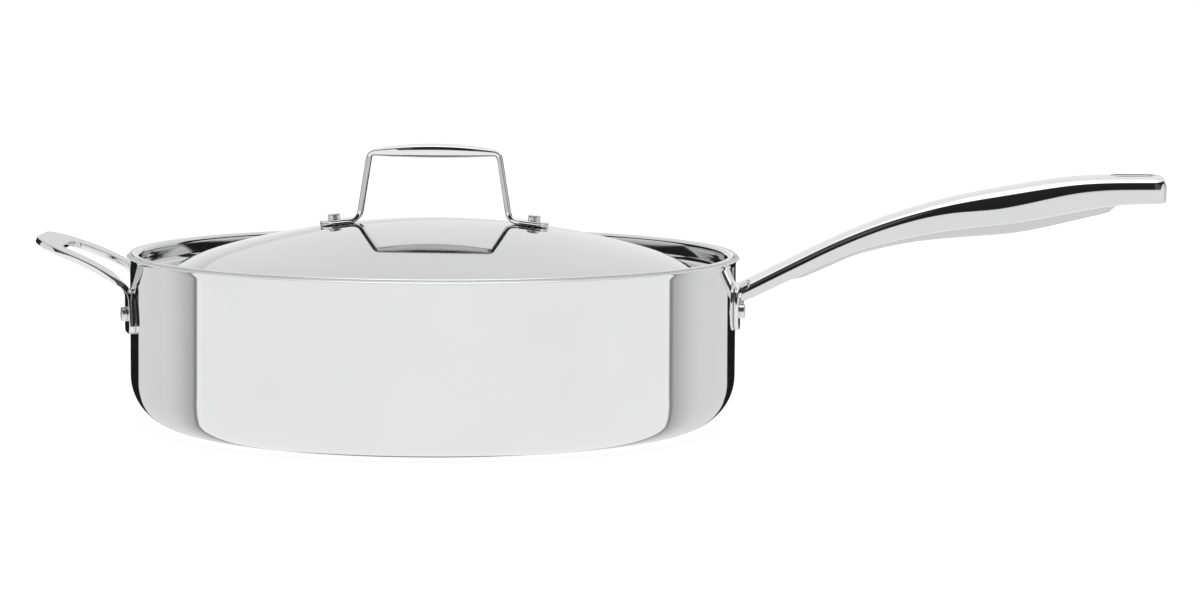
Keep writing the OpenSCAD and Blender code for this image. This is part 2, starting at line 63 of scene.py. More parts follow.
# %% Camera at the photograph's angle
CAMERA_AT = Vector((105.9, -1834.2, 243.5)) * MM
PITCH, YAW, ROLL = radians(5.63), radians(-0.69), radians(0.42)
SENSOR, LENS, CLIP_END = 36, 109.59, 60
forward = Vector((sin(YAW) * cos(PITCH), cos(YAW) * cos(PITCH), -sin(PITCH)))
level = Vector((cos(YAW), -sin(YAW), 0))
above = level.cross(forward)
right = level * cos(ROLL) + above * sin(ROLL)
up = above * cos(ROLL) - level * sin(ROLL)
camera_turn = Matrix((right, up, -forward)).transposed().to_4x4()

bpy.ops.object.select_all(action="DESELECT")
bpy.ops.object.camera_add(location=CAMERA_AT)
camera = bpy.context.object
camera.name = "camera"
camera.matrix_world = Matrix.Translation(CAMERA_AT) @ camera_turn
camera.data.sensor_width, camera.data.lens, camera.data.clip_end = SENSOR, LENS, CLIP_END
bpy.context.scene.camera = camera
print("camera looks along", [round(c, 3) for c in forward])

# %% [markdown]
# ## Working by hand, in code
#
# A few small helpers stand for the moves that a hand makes again and again: putting
# everything down and taking one piece up, drawing a line with one extruded vertex,
# pulling a section on, picking vertices by their place, closing a finished piece, giving
# a sheet its thickness and rounding its edges. They could be typed out for every piece,
# but then a slip in one of them would be hard to see.

# %% Put everything down, take one piece up, and open it
def put_down():
    """Leaves edit mode and deselects every object."""
    if bpy.context.object and bpy.context.object.mode == "EDIT":
        bpy.ops.object.mode_set(mode="OBJECT")
    bpy.ops.object.select_all(action="DESELECT")


def take(piece):
    """Makes one piece the only selected and active one."""
    put_down()
    piece.select_set(True)
    bpy.context.view_layer.objects.active = piece


def open_up(piece):
    """Takes a piece into edit mode, with all of it selected."""
    take(piece)
    bpy.ops.object.mode_set(mode="EDIT")
    bpy.ops.mesh.select_all(action="SELECT")


# %% Draw a line, vertex by vertex
SAME_PLACE = 0.001 * MM


def draw(name, points):
    """A plane is merged to one vertex, which is extruded from point to point (in mm)."""
    put_down()
    bpy.ops.mesh.primitive_plane_add(size=MM, location=[c * MM for c in points[0]])
    piece = bpy.context.object
    piece.name = piece.data.name = name
    bpy.ops.object.transform_apply()
    open_up(piece)
    bpy.ops.mesh.merge(type="CENTER")
    for a, b in zip(points, points[1:]):
        step = [(q - p) * MM for p, q in zip(a, b)]
        bpy.ops.mesh.extrude_vertices_move(TRANSFORM_OT_translate={"value": step})
    bpy.ops.mesh.select_all(action="SELECT")
    bpy.ops.mesh.remove_doubles(threshold=SAME_PLACE)
    return piece


# %% Pull a section on, turn it and resize it
def pull(*step):
    """Extrudes what is selected by a step in mm."""
    bpy.ops.mesh.extrude_region_move(TRANSFORM_OT_translate={"value": [c * MM for c in step]})


def swing(at, axis, angle):
    """Turns what is selected about a point, by degrees."""
    bpy.ops.transform.rotate(value=radians(angle), orient_axis=axis, center_override=at)


def grow(at, *factors):
    """Resizes what is selected about a point."""
    bpy.ops.transform.resize(value=factors, center_override=at)


# %% Pick vertices by place
def pick(piece, inside):
    """In edit mode, selects the vertices for which inside(x, y, z) holds, in mm."""
    bpy.ops.object.mode_set(mode="OBJECT")
    for vertex in piece.data.vertices:
        vertex.select = bool(inside(*(vertex.co / MM)))
    for part in (*piece.data.edges, *piece.data.polygons):
        part.select = all(piece.data.vertices[v].select for v in part.vertices)
    bpy.ops.object.mode_set(mode="EDIT")


# %% Close and smooth a piece
def smooth(piece, angle):
    """Smooths every edge but those where the faces turn by more than angle degrees."""
    take(piece)
    bpy.ops.object.shade_smooth_by_angle(angle=radians(angle))


def close_up(piece):
    """Merges doubles, turns the faces outwards and smooths all but the sharp edges."""
    open_up(piece)
    bpy.ops.mesh.remove_doubles(threshold=SAME_PLACE)
    bpy.ops.mesh.normals_make_consistent(inside=False)
    smooth(piece, 32)
    print(piece.name, "has", len(piece.data.polygons), "faces")
    return piece


# %% Thickness and soft edges
CUT_PIECE_ANGLE = 38


def apply_all(piece):
    """Applies a piece's modifiers in their order."""
    take(piece)
    for modifier in list(piece.modifiers):
        bpy.ops.object.modifier_apply(modifier=modifier.name)


def thicken(piece, thickness, offset=-1):
    """Gives a sheet its thickness, behind its faces or, with an offset of 1, before them."""
    sheet = piece.modifiers.new("sheet", "SOLIDIFY")
    sheet.thickness, sheet.offset = thickness * MM, offset
    apply_all(piece)


def soften(piece, width, segments):
    """Rounds the edges where the faces turn by more than 50 degrees."""
    edge = piece.modifiers.new("edge", "BEVEL")
    edge.width, edge.segments = width * MM, segments
    edge.limit_method, edge.angle_limit = "ANGLE", radians(50)
    apply_all(piece)


def look_along_x(piece):
    """Turns all faces of an open sheet round if its lowest one looks towards -X."""
    open_up(piece)
    if min(piece.data.polygons, key=lambda f: f.center.z).normal.x < 0:
        bpy.ops.mesh.flip_normals()
    bpy.ops.object.mode_set(mode="OBJECT")


# %% [markdown]
# ## Polished steel
#
# The pan, lid and handles are mirror-polished stainless steel. A mirror needs almost
# no colour of its own: it shows the room. What keeps it from looking like computer
# chrome is a little uneven gloss and the very fine lines that a buffing wheel leaves.
# On spun pieces the lines run round the axis, on bars they run along the bar.

# %% A steel with polishing lines
TINT = 0.035


def add(tree, kind, **settings):
    """A new node with its settings, input sockets among them by name."""
    made = tree.nodes.new(kind)
    for key, value in settings.items():
        if hasattr(made, key):
            setattr(made, key, value)
        else:
            made.inputs[key.replace("_", " ")].default_value = value
    return made


def polishing_lines(tree, place, spun, scale):
    """Fine noise that hardly changes round the axis, or along X on a bar."""
    link = tree.links.new
    split = add(tree, "ShaderNodeSeparateXYZ")
    across = add(tree, "ShaderNodeCombineXYZ")
    link(place.outputs["Object"], split.inputs[0])
    if spun:
        # Distance from the axis and height are the same all along a spun line
        flat = add(tree, "ShaderNodeVectorMath", operation="MULTIPLY")
        flat.inputs[1].default_value = (1, 1, 0)
        from_axis = add(tree, "ShaderNodeVectorMath", operation="LENGTH")
        link(place.outputs["Object"], flat.inputs[0])
        link(flat.outputs[0], from_axis.inputs[0])
        link(from_axis.outputs["Value"], across.inputs[0])
    else:
        link(split.outputs[1], across.inputs[1])
    link(split.outputs[2], across.inputs[2])
    fine = add(tree, "ShaderNodeTexNoise", Scale=scale, Detail=4.0, Roughness=0.6)
    link(across.outputs[0], fine.inputs["Vector"])
    return fine


# %% The metal around the lines
def steel(name, tone, gloss, uneven, lines, lines_scale, spun=True, bump=0.02):
    """Metal of one tone, whose roughness wanders by uneven and follows fine lines."""
    made = bpy.data.materials.new(name)
    made.use_nodes = True
    tree = made.node_tree
    link = tree.links.new
    shader = tree.nodes["Principled BSDF"]
    shader.inputs["Metallic"].default_value = 1.0
    place = add(tree, "ShaderNodeTexCoord")
    fine = polishing_lines(tree, place, spun, lines_scale)
    smudge = add(tree, "ShaderNodeTexNoise", Scale=22.0, Detail=3.0, Roughness=0.55)
    link(place.outputs["Object"], smudge.inputs["Vector"])
    wander = add(tree, "ShaderNodeMapRange", From_Min=0.35, From_Max=0.65,
                 To_Min=gloss - uneven, To_Max=gloss + uneven)
    link(smudge.outputs["Fac"], wander.inputs["Value"])
    grooved = add(tree, "ShaderNodeMath", operation="MULTIPLY_ADD")
    grooved.inputs[1].default_value = lines
    link(fine.outputs["Fac"], grooved.inputs[0])
    link(wander.outputs[0], grooved.inputs[2])
    link(grooved.outputs[0], shader.inputs["Roughness"])
    tint = add(tree, "ShaderNodeMix", data_type="RGBA")
    tint.inputs["A"].default_value = [c * (1 - TINT) for c in tone] + [1]
    tint.inputs["B"].default_value = [min(1, c * (1 + TINT)) for c in tone] + [1]
    link(smudge.outputs["Fac"], tint.inputs["Factor"])
    link(tint.outputs["Result"], shader.inputs["Base Color"])
    if bump:
        relief = add(tree, "ShaderNodeBump", Strength=bump, Distance=0.0002)
        link(fine.outputs["Fac"], relief.inputs["Height"])
        link(relief.outputs[0], shader.inputs["Normal"])
    return made


# %% Steels of the pan and the lid
wall_steel = steel("polished_wall", (0.8, 0.8, 0.802), 0.035, 0.01, 0.015, 900, bump=0.0)
lid_steel = steel("polished_lid", (0.68, 0.68, 0.683), 0.045, 0.012, 0.03, 900, bump=0.002)
inner_steel = steel("satin_inside", (0.66, 0.66, 0.664), 0.2, 0.03, 0.14, 1400, bump=0.12)
base_steel = steel("turned_base", (0.7, 0.7, 0.705), 0.24, 0.03, 0.16, 1100, bump=0.15)
cut_edge = steel("cut_edge", (0.8, 0.8, 0.805), 0.2, 0.04, 0.1, 1800, bump=0.05)
core_metal = steel("core_aluminium", (0.84, 0.845, 0.86), 0.42, 0.05, 0.12, 1800, bump=0.1)
core_metal.node_tree.nodes["Principled BSDF"].inputs["Metallic"].default_value = 0.45
rivet_steel = steel("rivet_steel", (0.8, 0.8, 0.804), 0.26, 0.03, 0.1, 1500, spun=False)


# %% Steels of the bars
def bar(name, tone, gloss, uneven, lines):
    """Polished steel whose lines run along a bar."""
    return steel(name, tone, gloss, uneven, lines, 1200, spun=False, bump=0.0)


bar_steel = bar("polished_bar", (0.84, 0.84, 0.842), 0.04, 0.012, 0.02)
# Darker copies of the bar steel are painted shade: on the handle's flanks and belly, the edges of
# the bail's legs and the helper's flat faces
flank_shade_steel = bar("polished_flank_painted_shade", (0.725, 0.725, 0.728), 0.05, 0.012, 0.03)
belly_shade_steel = bar("polished_belly_painted_shade", (0.63, 0.63, 0.634), 0.07, 0.015, 0.04)
leg_edge_shade_steel = bar("polished_leg_painted_shade", (0.56, 0.56, 0.563), 0.07, 0.012, 0.03)
helper_top_shade_steel = bar("polished_helper_painted_shade", (0.52, 0.52, 0.523), 0.06, 0.012, 0.03)


def dress(piece, *materials):
    """Gives a piece its materials in order."""
    piece.data.materials.clear()
    for material in materials:
        piece.data.materials.append(material)


print("metals:", sorted(m.name for m in bpy.data.materials if "polished" in m.name))

# %% [markdown]
# ## The clad pan
#
# The real pan is pressed from a sheet of three metals, steel, aluminium and steel, and
# its rim is trimmed so that the aluminium shows as a fine line. A pressed round pan is
# the same all the way round, so its profile is drawn once and spun. A cylinder with
# an inset floor would give a sharp corner, and bevelling it wouldn't give the flare.

# %% Points of an arc
def arc(centre, radius, start, end, steps):
    """Points of an arc in mm, between two angles in degrees."""
    return [(centre[0] + radius * cos(radians(start + (end - start) * k / steps)),
             centre[1] + radius * sin(radians(start + (end - start) * k / steps)))
            for k in range(steps + 1)]


# %% Spin a profile
def turned(name, profile, steps=256):
    """Draws a profile of (radius, height) and spins it round the pan's axis."""
    piece = draw(name, [(r, 0, z) for r, z in profile])
    bpy.ops.mesh.select_all(action="SELECT")
    bpy.ops.mesh.spin(steps=steps, angle=2 * pi, center=(0, 0, 0), axis=(0, 0, 1))
    return close_up(piece)


# %% Three layers of the sheet, with their depths from its outer face
PAN_R, PAN_H, CORNER_R, FLOOR_R = 152.1, 86.8, 25.4, 60
FLARE_AT, FLARE_R, FLARE_END = (155.6, 81.777), 3.5, 120
CORE_FROM, CORE_TO, SHEET_T = 0.5, 1.8, 2.3
RIM_SLANT = 15


def layer(name, outer, inner, set_back):
    """One layer of the sheet between two depths. The rim is ground at a slant to the
    sheet, and the layer ends set_back short of it."""
    def face(depth):
        ground = set_back + depth * tan(radians(RIM_SLANT))
        rim_turn = FLARE_END + degrees(ground / (FLARE_R + depth))
        return ([(0, depth), (FLOOR_R, depth)]
                + arc((PAN_R - CORNER_R, CORNER_R), CORNER_R - depth, -90, 0, 20)
                + arc(FLARE_AT, FLARE_R + depth, 180, rim_turn, 8))
    return turned(name, face(outer) + face(inner)[::-1])


pan_outside = layer("pan_outside", 0, CORE_FROM, 0.08)
pan_middle = layer("pan_middle", CORE_FROM, CORE_TO, 0.16)
pan_inside = layer("pan_inside", CORE_TO, SHEET_T, 0.0)

# %% Finish of the three layers
RIM_FROM, BASE_TO = 84, 0.3
dress(pan_outside, wall_steel, cut_edge, base_steel)
dress(pan_inside, inner_steel, cut_edge)
dress(pan_middle, core_metal)
for piece in (pan_outside, pan_inside):
    for face in piece.data.polygons:
        out = Vector((face.center.x, face.center.y, 0)).normalized()
        slanted = abs(face.normal.dot(out) - cos(radians(45))) < 0.02 and face.normal.z > 0.6
        if face.center.z > RIM_FROM * MM and slanted:
            face.material_index = 1
        elif face.center.z < BASE_TO * MM:
            face.material_index = 2
for piece, node, finish in ((pan_outside, "pan_outer_skin", "mirror_steel"),
                            (pan_middle, "pan_core", "core_aluminium"),
                            (pan_inside, "pan_inner_skin", "inner_steel")):
    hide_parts(node)
    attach(piece, "pan")

# %% [markdown]
# ## The recessed lid
#
# The lid is one spun sheet: a shallow dome, a shoulder, a groove that drops inside the
# pan, and a flange that rests in the flare. Its section is drawn as one closed line, up
# the top face and back along the underside, so the sheet has its true thickness.

# %% The lid's section
LID_T = 0.8
CAP_AT, CAP_R, CAP_EDGE = (0, -297.1), 400, 110
SHOULDER_AT, SHOULDER_R, SHOULDER_END = (83.875, -3.87), 95, 57
FILLET_AT, DROP_AT, GROOVE_R = (137.79, 79.16), (143.5, 79.16), 4
BEND_AT, BEND_R = (149.8, 84.1), 1.5
FLANGE_END = (150.72, 86.0)


def lid_face(under):
    """One face of the sheet from the crown outwards: the top at 0, the underside at 1."""
    t = under * LID_T
    cap_turn = 90 - degrees(asin(CAP_EDGE / CAP_R))
    return (arc(CAP_AT, CAP_R - t, 90, cap_turn, 26)
            + arc(SHOULDER_AT, SHOULDER_R - t, cap_turn, SHOULDER_END, 16)[1:]
            + arc(FILLET_AT, GROOVE_R + t, SHOULDER_END + 180, 270, 8)
            + arc(DROP_AT, GROOVE_R + t, 270, 360, 12)
            + arc(BEND_AT, BEND_R + LID_T - t, 180, 90, 8))


flange = arc(FLANGE_END, LID_T / 2, 90, -90, 8)
lid_dish = turned("lid_dish", lid_face(0) + flange + lid_face(1)[::-1])
dress(lid_dish, lid_steel)
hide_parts("lid_shell")
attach(lid_dish, "lid")

# %% [markdown]
# ## Bars that are forged along a path
#
# The lid's bail and the long handle are bars whose section grows and shrinks on the way.
# A curve with a bevel keeps one section, so each bar starts as its first section, and
# that is extruded from station to station, turned into the path and resized there.

# %% A smooth line through measured points
def on_line(line, x):
    """Height of a smooth curve through (x, value) points, the same curve as in the CAD."""
    i = 0
    while i < len(line) - 2 and x >= line[i + 1][0]:
        i += 1

    def slope(j):
        a, b = line[max(j - 1, 0)], line[min(j + 1, len(line) - 1)]
        return (b[1] - a[1]) / (b[0] - a[0])
    h = line[i + 1][0] - line[i][0]
    t = (x - line[i][0]) / h
    return ((2 * t ** 3 - 3 * t * t + 1) * line[i][1] + (t ** 3 - 2 * t * t + t) * slope(i) * h
            + (3 * t * t - 2 * t ** 3) * line[i + 1][1] + (t ** 3 - t * t) * slope(i + 1) * h)


# %% Extrude from station to station
def forge(name, section, stations):
    """Stations are (x, z, turn, half width, half thickness) in mm and degrees: the bar
    runs in the XZ plane, and turn is how far its path climbs from +X."""
    x, z, turn, wide, thick = stations[0]
    piece = draw(name, [(x, u * wide, z + v * thick) for u, v in section + section[:1]])
    bpy.ops.mesh.edge_face_add()
    at = Vector((x, 0, z)) * MM
    swing(at, "Y", turn)
    for nx, nz, nturn, nwide, nthick in stations[1:]:
        pull(nx - x, 0, nz - z)
        at = Vector((nx, 0, nz)) * MM
        swing(at, "Y", nturn - turn)
        grow(at, nthick / thick, nwide / wide, nthick / thick)
        x, z, turn, wide, thick = nx, nz, nturn, nwide, nthick
    return piece


# %% A section with squared corners
def oval(power, count):
    """Points of a unit oval: power 2 is round, more is squarer."""
    points = []
    for k in range(count):
        turn = 2 * pi * (k + 0.5) / count
        c, s = cos(turn), sin(turn)
        points.append((abs(c) ** (2 / power) * (1 if c > 0 else -1),
                       abs(s) ** (2 / power) * (1 if s > 0 else -1)))
    return points


# %% [markdown]
# ## The lid's bail
#
# A strap of steel with flat feet riveted to the dome, two legs that lean inwards, and a
# grip that swells in its middle to fit under the fingers. A flat strap could be bent
# after it is cut, but the grip is thicker than the strap, so the bail is forged.

# %% Middle line of the bail
BAIL_T, BAIL_GAP = 2.7, 0.06
MIDDLE_R = CAP_R + BAIL_GAP + BAIL_T / 2
ROOT_X, END_X = 37.7, 57.3
TOP_X, TOP_Z, ARCH = 32.5, 136.4, 1.1
ROOT_BEND, TOP_BEND, BEND_STEPS = 4.5, 3.2, 9


def foot_point(x):
    """Point of the middle line on the dome at x."""
    return (MIDDLE_R * x / CAP_R, CAP_AT[1] + MIDDLE_R * sqrt(1 - (x / CAP_R) ** 2))


def rounded(a, p, b, cut):
    """Points of a soft corner at p between a and b."""
    def towards(q):
        d = hypot(q[0] - p[0], q[1] - p[1])
        return (p[0] + cut * (q[0] - p[0]) / d, p[1] + cut * (q[1] - p[1]) / d)
    s, e = towards(a), towards(b)
    return [tuple((1 - t) ** 2 * s[i] + 2 * t * (1 - t) * p[i] + t * t * e[i] for i in (0, 1))
            for t in [k / BEND_STEPS for k in range(BEND_STEPS + 1)]]


root, top = foot_point(ROOT_X), (TOP_X, TOP_Z)
half = [foot_point(END_X + (ROOT_X - END_X) * share) for share in
        (0, 0.004, 0.015, 0.035, 0.065, 0.1, 0.15, 0.2, 0.26, 0.33, 0.42, 0.53, 0.64)]
half += rounded(foot_point(END_X), root, top, ROOT_BEND)
half += [(root[0] + (top[0] - root[0]) * share, root[1] + (top[1] - root[1]) * share)
         for share in (0.3, 0.45, 0.6, 0.75)]
half += rounded(root, top, (TOP_X - 8, TOP_Z + 0.5), TOP_BEND)
half += [(x, TOP_Z + ARCH * (1 - (x / TOP_X) ** 2)) for x in (25, 21, 17, 13, 9, 4.5)]
bail_path = half + [(0, TOP_Z + ARCH)] + [(-x, z) for x, z in half[::-1]]
print("bail stations:", len(bail_path))

# %% Width and thickness along the bail
STRAP_W, GRIP_W, GRIP_T = 10, 16, 6.7
FOOT_W, FOOT_SPREAD = 12.5, 6


def bail_sizes(x, z):
    """Half width and half thickness of the strap at a point of its middle line."""
    grip = 1 - (abs(x) / TOP_X) ** 2 if z > TOP_Z - 1 and abs(x) < TOP_X else 0
    foot = min(1, max(0, (abs(x) - ROOT_X) / FOOT_SPREAD))
    into_end = max(0, (abs(x) - END_X + FOOT_W / 2) / (FOOT_W / 2))
    end = sqrt(max(0.012, 1 - into_end ** 2))
    wide = STRAP_W + (GRIP_W - STRAP_W) * grip + (FOOT_W - STRAP_W) * foot
    return wide / 2 * end, (BAIL_T + (GRIP_T - BAIL_T) * grip) / 2


bail_stations = []
for i, (x, z) in enumerate(bail_path):
    (ax, az), (bx, bz) = bail_path[max(i - 1, 0)], bail_path[min(i + 1, len(bail_path) - 1)]
    turn = degrees(atan2(bz - az, bx - ax))
    if bail_stations:
        # The turn never jumps by more than half a circle
        turn += 360 * round((bail_stations[-1][2] - turn) / 360)
    bail_stations.append((x, z, turn, *bail_sizes(x, z)))

# %% Section of the bail
# The path runs towards -X along the grip, so the section's positive side faces down
# there. That side is deeper, which puts the widest line near the top, and flatter.
DOWN_SIDE, UP_SIDE = 1.3, 0.7
DOWN_POWER, UP_POWER = 8, 3.8
flat_side = [((1 - v ** DOWN_POWER) ** (1 / DOWN_POWER), v)
             for v in (0.07, 0.25, 0.45, 0.62, 0.74, 0.83, 0.9)]
flat_side += [(u, (1 - u ** DOWN_POWER) ** (1 / DOWN_POWER))
              for u in (0.87, 0.77, 0.6, 0.4, 0.15)]
flat_side += [(-u, v) for u, v in flat_side[::-1]]
bail_section = ([(u, v * DOWN_SIDE + 1 - DOWN_SIDE) for u, v in flat_side]
                + [(u, v * UP_SIDE + 1 - DOWN_SIDE) for u, v in oval(UP_POWER, 40) if v < 0])
lid_bail = close_up(forge("bail", bail_section, bail_stations))

# %% Finish of the bail, with painted shade: a darker copy of the steel on the side edges of its legs
LEG_FROM, LEG_TO = TOP_Z - 29, TOP_Z - 2
dress(lid_bail, bar_steel, leg_edge_shade_steel)
for face in lid_bail.data.polygons:
    on_leg = LEG_FROM < face.center.z / MM < LEG_TO
    face.material_index = 1 if on_leg and abs(face.normal.y) > 0.7 else 0
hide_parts("lid_bail")
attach(lid_bail, "lid")

# %% [markdown]
# ## The long handle
#
# Two pressed shells make the hollow handle. The upper one is an arch with soft edges and
# upright flanks. Half of its section is an oval over a straight flank, and the two
# parts grow by different amounts on the way to the tip, so after each extrusion the
# vertices above and below the widest line are resized on their own.

# %% Measured lines of the long handle, as (x, value) in mm
HANDLE_START, HANDLE_TIP = 154.7, 367.0
top_line = [(150, 70), (180, 85.1), (205, 97.3), (230, 107.4), (260, 116.4), (290, 122.4),
            (320, 126.9), (345, 128), (400, 128)]
seam_line = [(150, 60.8), (165, 67.6), (180, 74.8), (197, 82.8), (214, 89.8), (240, 96.5),
             (265, 101), (290, 104), (303, 106.2), (315, 108.6), (333, 112), (350, 114),
             (400, 114.6)]
width_line = [(150, 11), (160, 10.3), (180, 9.3), (205, 9.5), (235, 11), (265, 12.3),
              (295, 13), (325, 13), (350, 12.6), (400, 12.5)]
edge_line = [(150, 5.6), (175, 5.7), (200, 5.6), (225, 5.7), (245, 6.3), (260, 7.6),
             (272, 9.3), (283, 10.3), (295, 10), (306, 9.2), (320, 7.9), (335, 7), (350, 6.8),
             (400, 6.7)]
belly_line = [(150, 0), (178, 0), (186, 2.2), (215, 2.3), (240, 2.9), (268, 4.8), (290, 5.4),
              (310, 5), (325, 4.3), (338, 3.2), (343, 0), (400, 0)]
print("handle from", HANDLE_START, "to", HANDLE_TIP)


# %% One station of the upper shell
PLAN_TIP_R, CROWN_TIP_R, SEAM_TIP_R = 6, 4.5, 3


def tip_inset(x, radius):
    """How much the rounded tip has drawn in at x."""
    into = max(0, x - HANDLE_TIP + radius)
    return radius - sqrt(max(0, radius ** 2 - into ** 2))


def shell_sizes(x):
    """Height of the widest line, half width there, rise above it and drop below it."""
    top = on_line(top_line, x) - tip_inset(x, CROWN_TIP_R)
    wide = on_line(width_line, x) - tip_inset(x, PLAN_TIP_R)
    widest = on_line(top_line, x) - on_line(edge_line, x)
    drop = widest - on_line(seam_line, x) - tip_inset(x, SEAM_TIP_R)
    return widest, wide, top - widest, drop


CROWN_POWER, CROWN_STEPS = 2.5, 14
crown = [(cos(t) ** (2 / CROWN_POWER), sin(t) ** (2 / CROWN_POWER))
         for t in [radians(90 * k / CROWN_STEPS) for k in range(CROWN_STEPS + 1)]]
flank = [(0.93, -1), (0.965, -0.985), (0.978, -0.93), (0.985, -0.7), (0.995, -0.35)]
half_section = flank + crown
shell_section = half_section + [(-u, v) for u, v in half_section[-2::-1]]
print("points round the upper shell:", len(shell_section))

# %% Extrude the upper shell
HANDLE_T = 1.2
# Vertices within a hair of the widest line stay on it
HAIR = 0.001
stations = [HANDLE_START + 4.4 * k for k in range(46)]
stations += [HANDLE_TIP - d for d in (7, 5.4, 4, 2.8, 1.8, 1.0, 0.4, 0.1, 0)]
widest, wide, rise, drop = shell_sizes(stations[0])
upper_shell = draw("handle_top", [(stations[0], u * wide, widest + v * (rise if v > 0 else drop))
                                  for u, v in shell_section])
for last, x in zip(stations, stations[1:]):
    new_widest, new_wide, new_rise, new_drop = shell_sizes(x)
    at = Vector((x, 0, new_widest)) * MM
    pull(x - last, 0, new_widest - widest)
    grow(at, 1, new_wide / wide, 1)
    pick(upper_shell, lambda px, py, pz: px > x - 0.01 and pz > new_widest + HAIR)
    grow(at, 1, 1, new_rise / rise)
    pick(upper_shell, lambda px, py, pz: px > x - 0.01 and pz < new_widest - HAIR)
    grow(at, 1, 1, new_drop / drop)
    pick(upper_shell, lambda px, py, pz: px > x - 0.01)
    widest, wide, rise, drop = new_widest, new_wide, new_rise, new_drop
bpy.ops.mesh.edge_face_add()
thicken(close_up(upper_shell), HANDLE_T)

# %% [markdown]
# The lower shell is a shallow tray pressed from the same sheet. It starts flush under
# the neck, deepens into a belly for the fingers and steps up again before the tip. A
# copy of the upper shell would need a new section, so the tray is extruded as well.

# %% One station of the lower shell
BELLY_INSET, BELLY_RIM, BELLY_TIP_R = 1.35, 2.4, 5
BELLY_POWER = 3.6


def belly_sizes(x):
    """Height of the tray's rim, its half width and its depth below the rim."""
    wide = on_line(width_line, x) - BELLY_INSET - tip_inset(x, BELLY_TIP_R)
    deep = BELLY_RIM + max(0.0, on_line(belly_line, x))
    return on_line(seam_line, x) + BELLY_RIM, wide, deep


half_belly = [(cos(t) ** (2 / BELLY_POWER), -sin(t) ** (2 / BELLY_POWER))
              for t in [radians(9 * k) for k in range(11)]]
belly_section = half_belly + [(-u, v) for u, v in half_belly[-2::-1]]
print("deepest belly:", round(max(belly_sizes(x)[2] for x in range(160, 360)), 1), "mm")

# %% Extrude the lower shell
stations = [HANDLE_START + 0.2 + 3.6 * k for k in range(57)]
stations += [HANDLE_TIP - d for d in (4.5, 2.9, 1.9, 1.5)]
rim, wide, deep = belly_sizes(stations[0])
lower_shell = draw("handle_belly",
                   [(stations[0], u * wide, rim + v * deep) for u, v in belly_section])
for last, x in zip(stations, stations[1:]):
    new_rim, new_wide, new_deep = belly_sizes(x)
    at = Vector((x, 0, new_rim)) * MM
    pull(x - last, 0, new_rim - rim)
    grow(at, 1, new_wide / wide, new_deep / deep)
    rim, wide, deep = new_rim, new_wide, new_deep
bpy.ops.mesh.edge_face_add()
thicken(close_up(lower_shell), HANDLE_T)

# %% [markdown]
# A slot for a hook goes through both shells. It could be drawn into the plan, but the
# shells are extruded along the handle, so the slot is cut with a stretched cylinder. A
# thin liner with rolled edges fills the cut, as on the real handle.

# %% Slot shape
HANG_X, HANG_W, HANG_L = 351.0, 9.0, 21.0
SLOT_POINTS = 48


def slot_block(name, wider, low, high):
    """A cylinder whose two halves are moved apart to the slot's length."""
    put_down()
    bpy.ops.mesh.primitive_cylinder_add(
        vertices=SLOT_POINTS, radius=(HANG_W / 2 + wider) * MM, depth=(high - low) * MM,
        rotation=(0, 0, pi / SLOT_POINTS), location=(HANG_X * MM, 0, (low + high) / 2 * MM))
    piece = bpy.context.object
    piece.name = piece.data.name = name
    bpy.ops.object.transform_apply()
    open_up(piece)
    for side in (-1, 1):
        pick(piece, lambda x, y, z: side * (x - HANG_X) > 0)
        bpy.ops.transform.translate(value=(side * (HANG_L - HANG_W) / 2 * MM, 0, 0))
    bpy.ops.object.mode_set(mode="OBJECT")
    return piece


# %% Cut the slot and round the edges
LINER_T = 1.0
cutter = slot_block("slot_cutter", LINER_T - 0.05, 100, 140)
for shell in (upper_shell, lower_shell):
    hole = shell.modifiers.new("slot", "BOOLEAN")
    hole.object = cutter
    hole.solver = "EXACT"
    apply_all(shell)
    soften(shell, 0.3, 2)
    smooth(shell, CUT_PIECE_ANGLE)
    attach(shell, "pan")
    print(shell.name, "cut, faces:", len(shell.data.polygons))
bpy.data.objects.remove(cutter)

# %% Finish of the two shells, with painted shade: darker steel on the upright flanks and on the whole belly
dress(upper_shell, bar_steel, flank_shade_steel)
for face in upper_shell.data.polygons:
    face.material_index = 1 if abs(face.normal.z) < 0.25 else 0
# Painted shade: the lower shell faces down, so it gets a darker copy of the bar steel
dress(lower_shell, belly_shade_steel)
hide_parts("handle_upper_shell")
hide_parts("handle_lower_shell")

# %% Liner of the slot
liner = slot_block("slot_liner", LINER_T, 113.7, 128.3)
pick(liner, lambda x, y, z: True)
bpy.ops.mesh.select_mode(type="FACE")
bpy.ops.object.mode_set(mode="OBJECT")
for face in liner.data.polygons:
    face.select = abs(face.normal.z) > 0.9
bpy.ops.object.mode_set(mode="EDIT")
bpy.ops.mesh.inset(thickness=LINER_T * MM, depth=0)
bpy.ops.mesh.bridge_edge_loops()
bpy.ops.mesh.select_mode(type="VERT")
soften(close_up(liner), 0.3, 2)
dress(liner, bar_steel)
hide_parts("hang_slot_liner")
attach(liner, "pan")

# %% [markdown]
# ## The bracket
#
# The long handle is carried by a forged bracket: a plate bent to the wall, with the
# neck growing out of it. The plate is a rounded rectangle that is cut into strips and
# pressed onto a round former with a Shrinkwrap, the way a press would bend it. It could
# be cut out of a thick ring, but its rounded corners would be harder to get.

# %% Former for bent plates
put_down()
bpy.ops.mesh.primitive_cylinder_add(vertices=720, radius=(PAN_R + 0.02) * MM,
                                    depth=160 * MM, end_fill_type="NOTHING")
former = bpy.context.object
former.name = "former"


def press_on_wall(piece, group=""):
    """Moves vertices along X onto the wall, by the weight of a vertex group if named."""
    press = piece.modifiers.new("press", "SHRINKWRAP")
    press.target = former
    press.wrap_method = "PROJECT"
    press.use_project_x = True
    press.use_positive_direction = press.use_negative_direction = True
    press.vertex_group = group
    apply_all(piece)


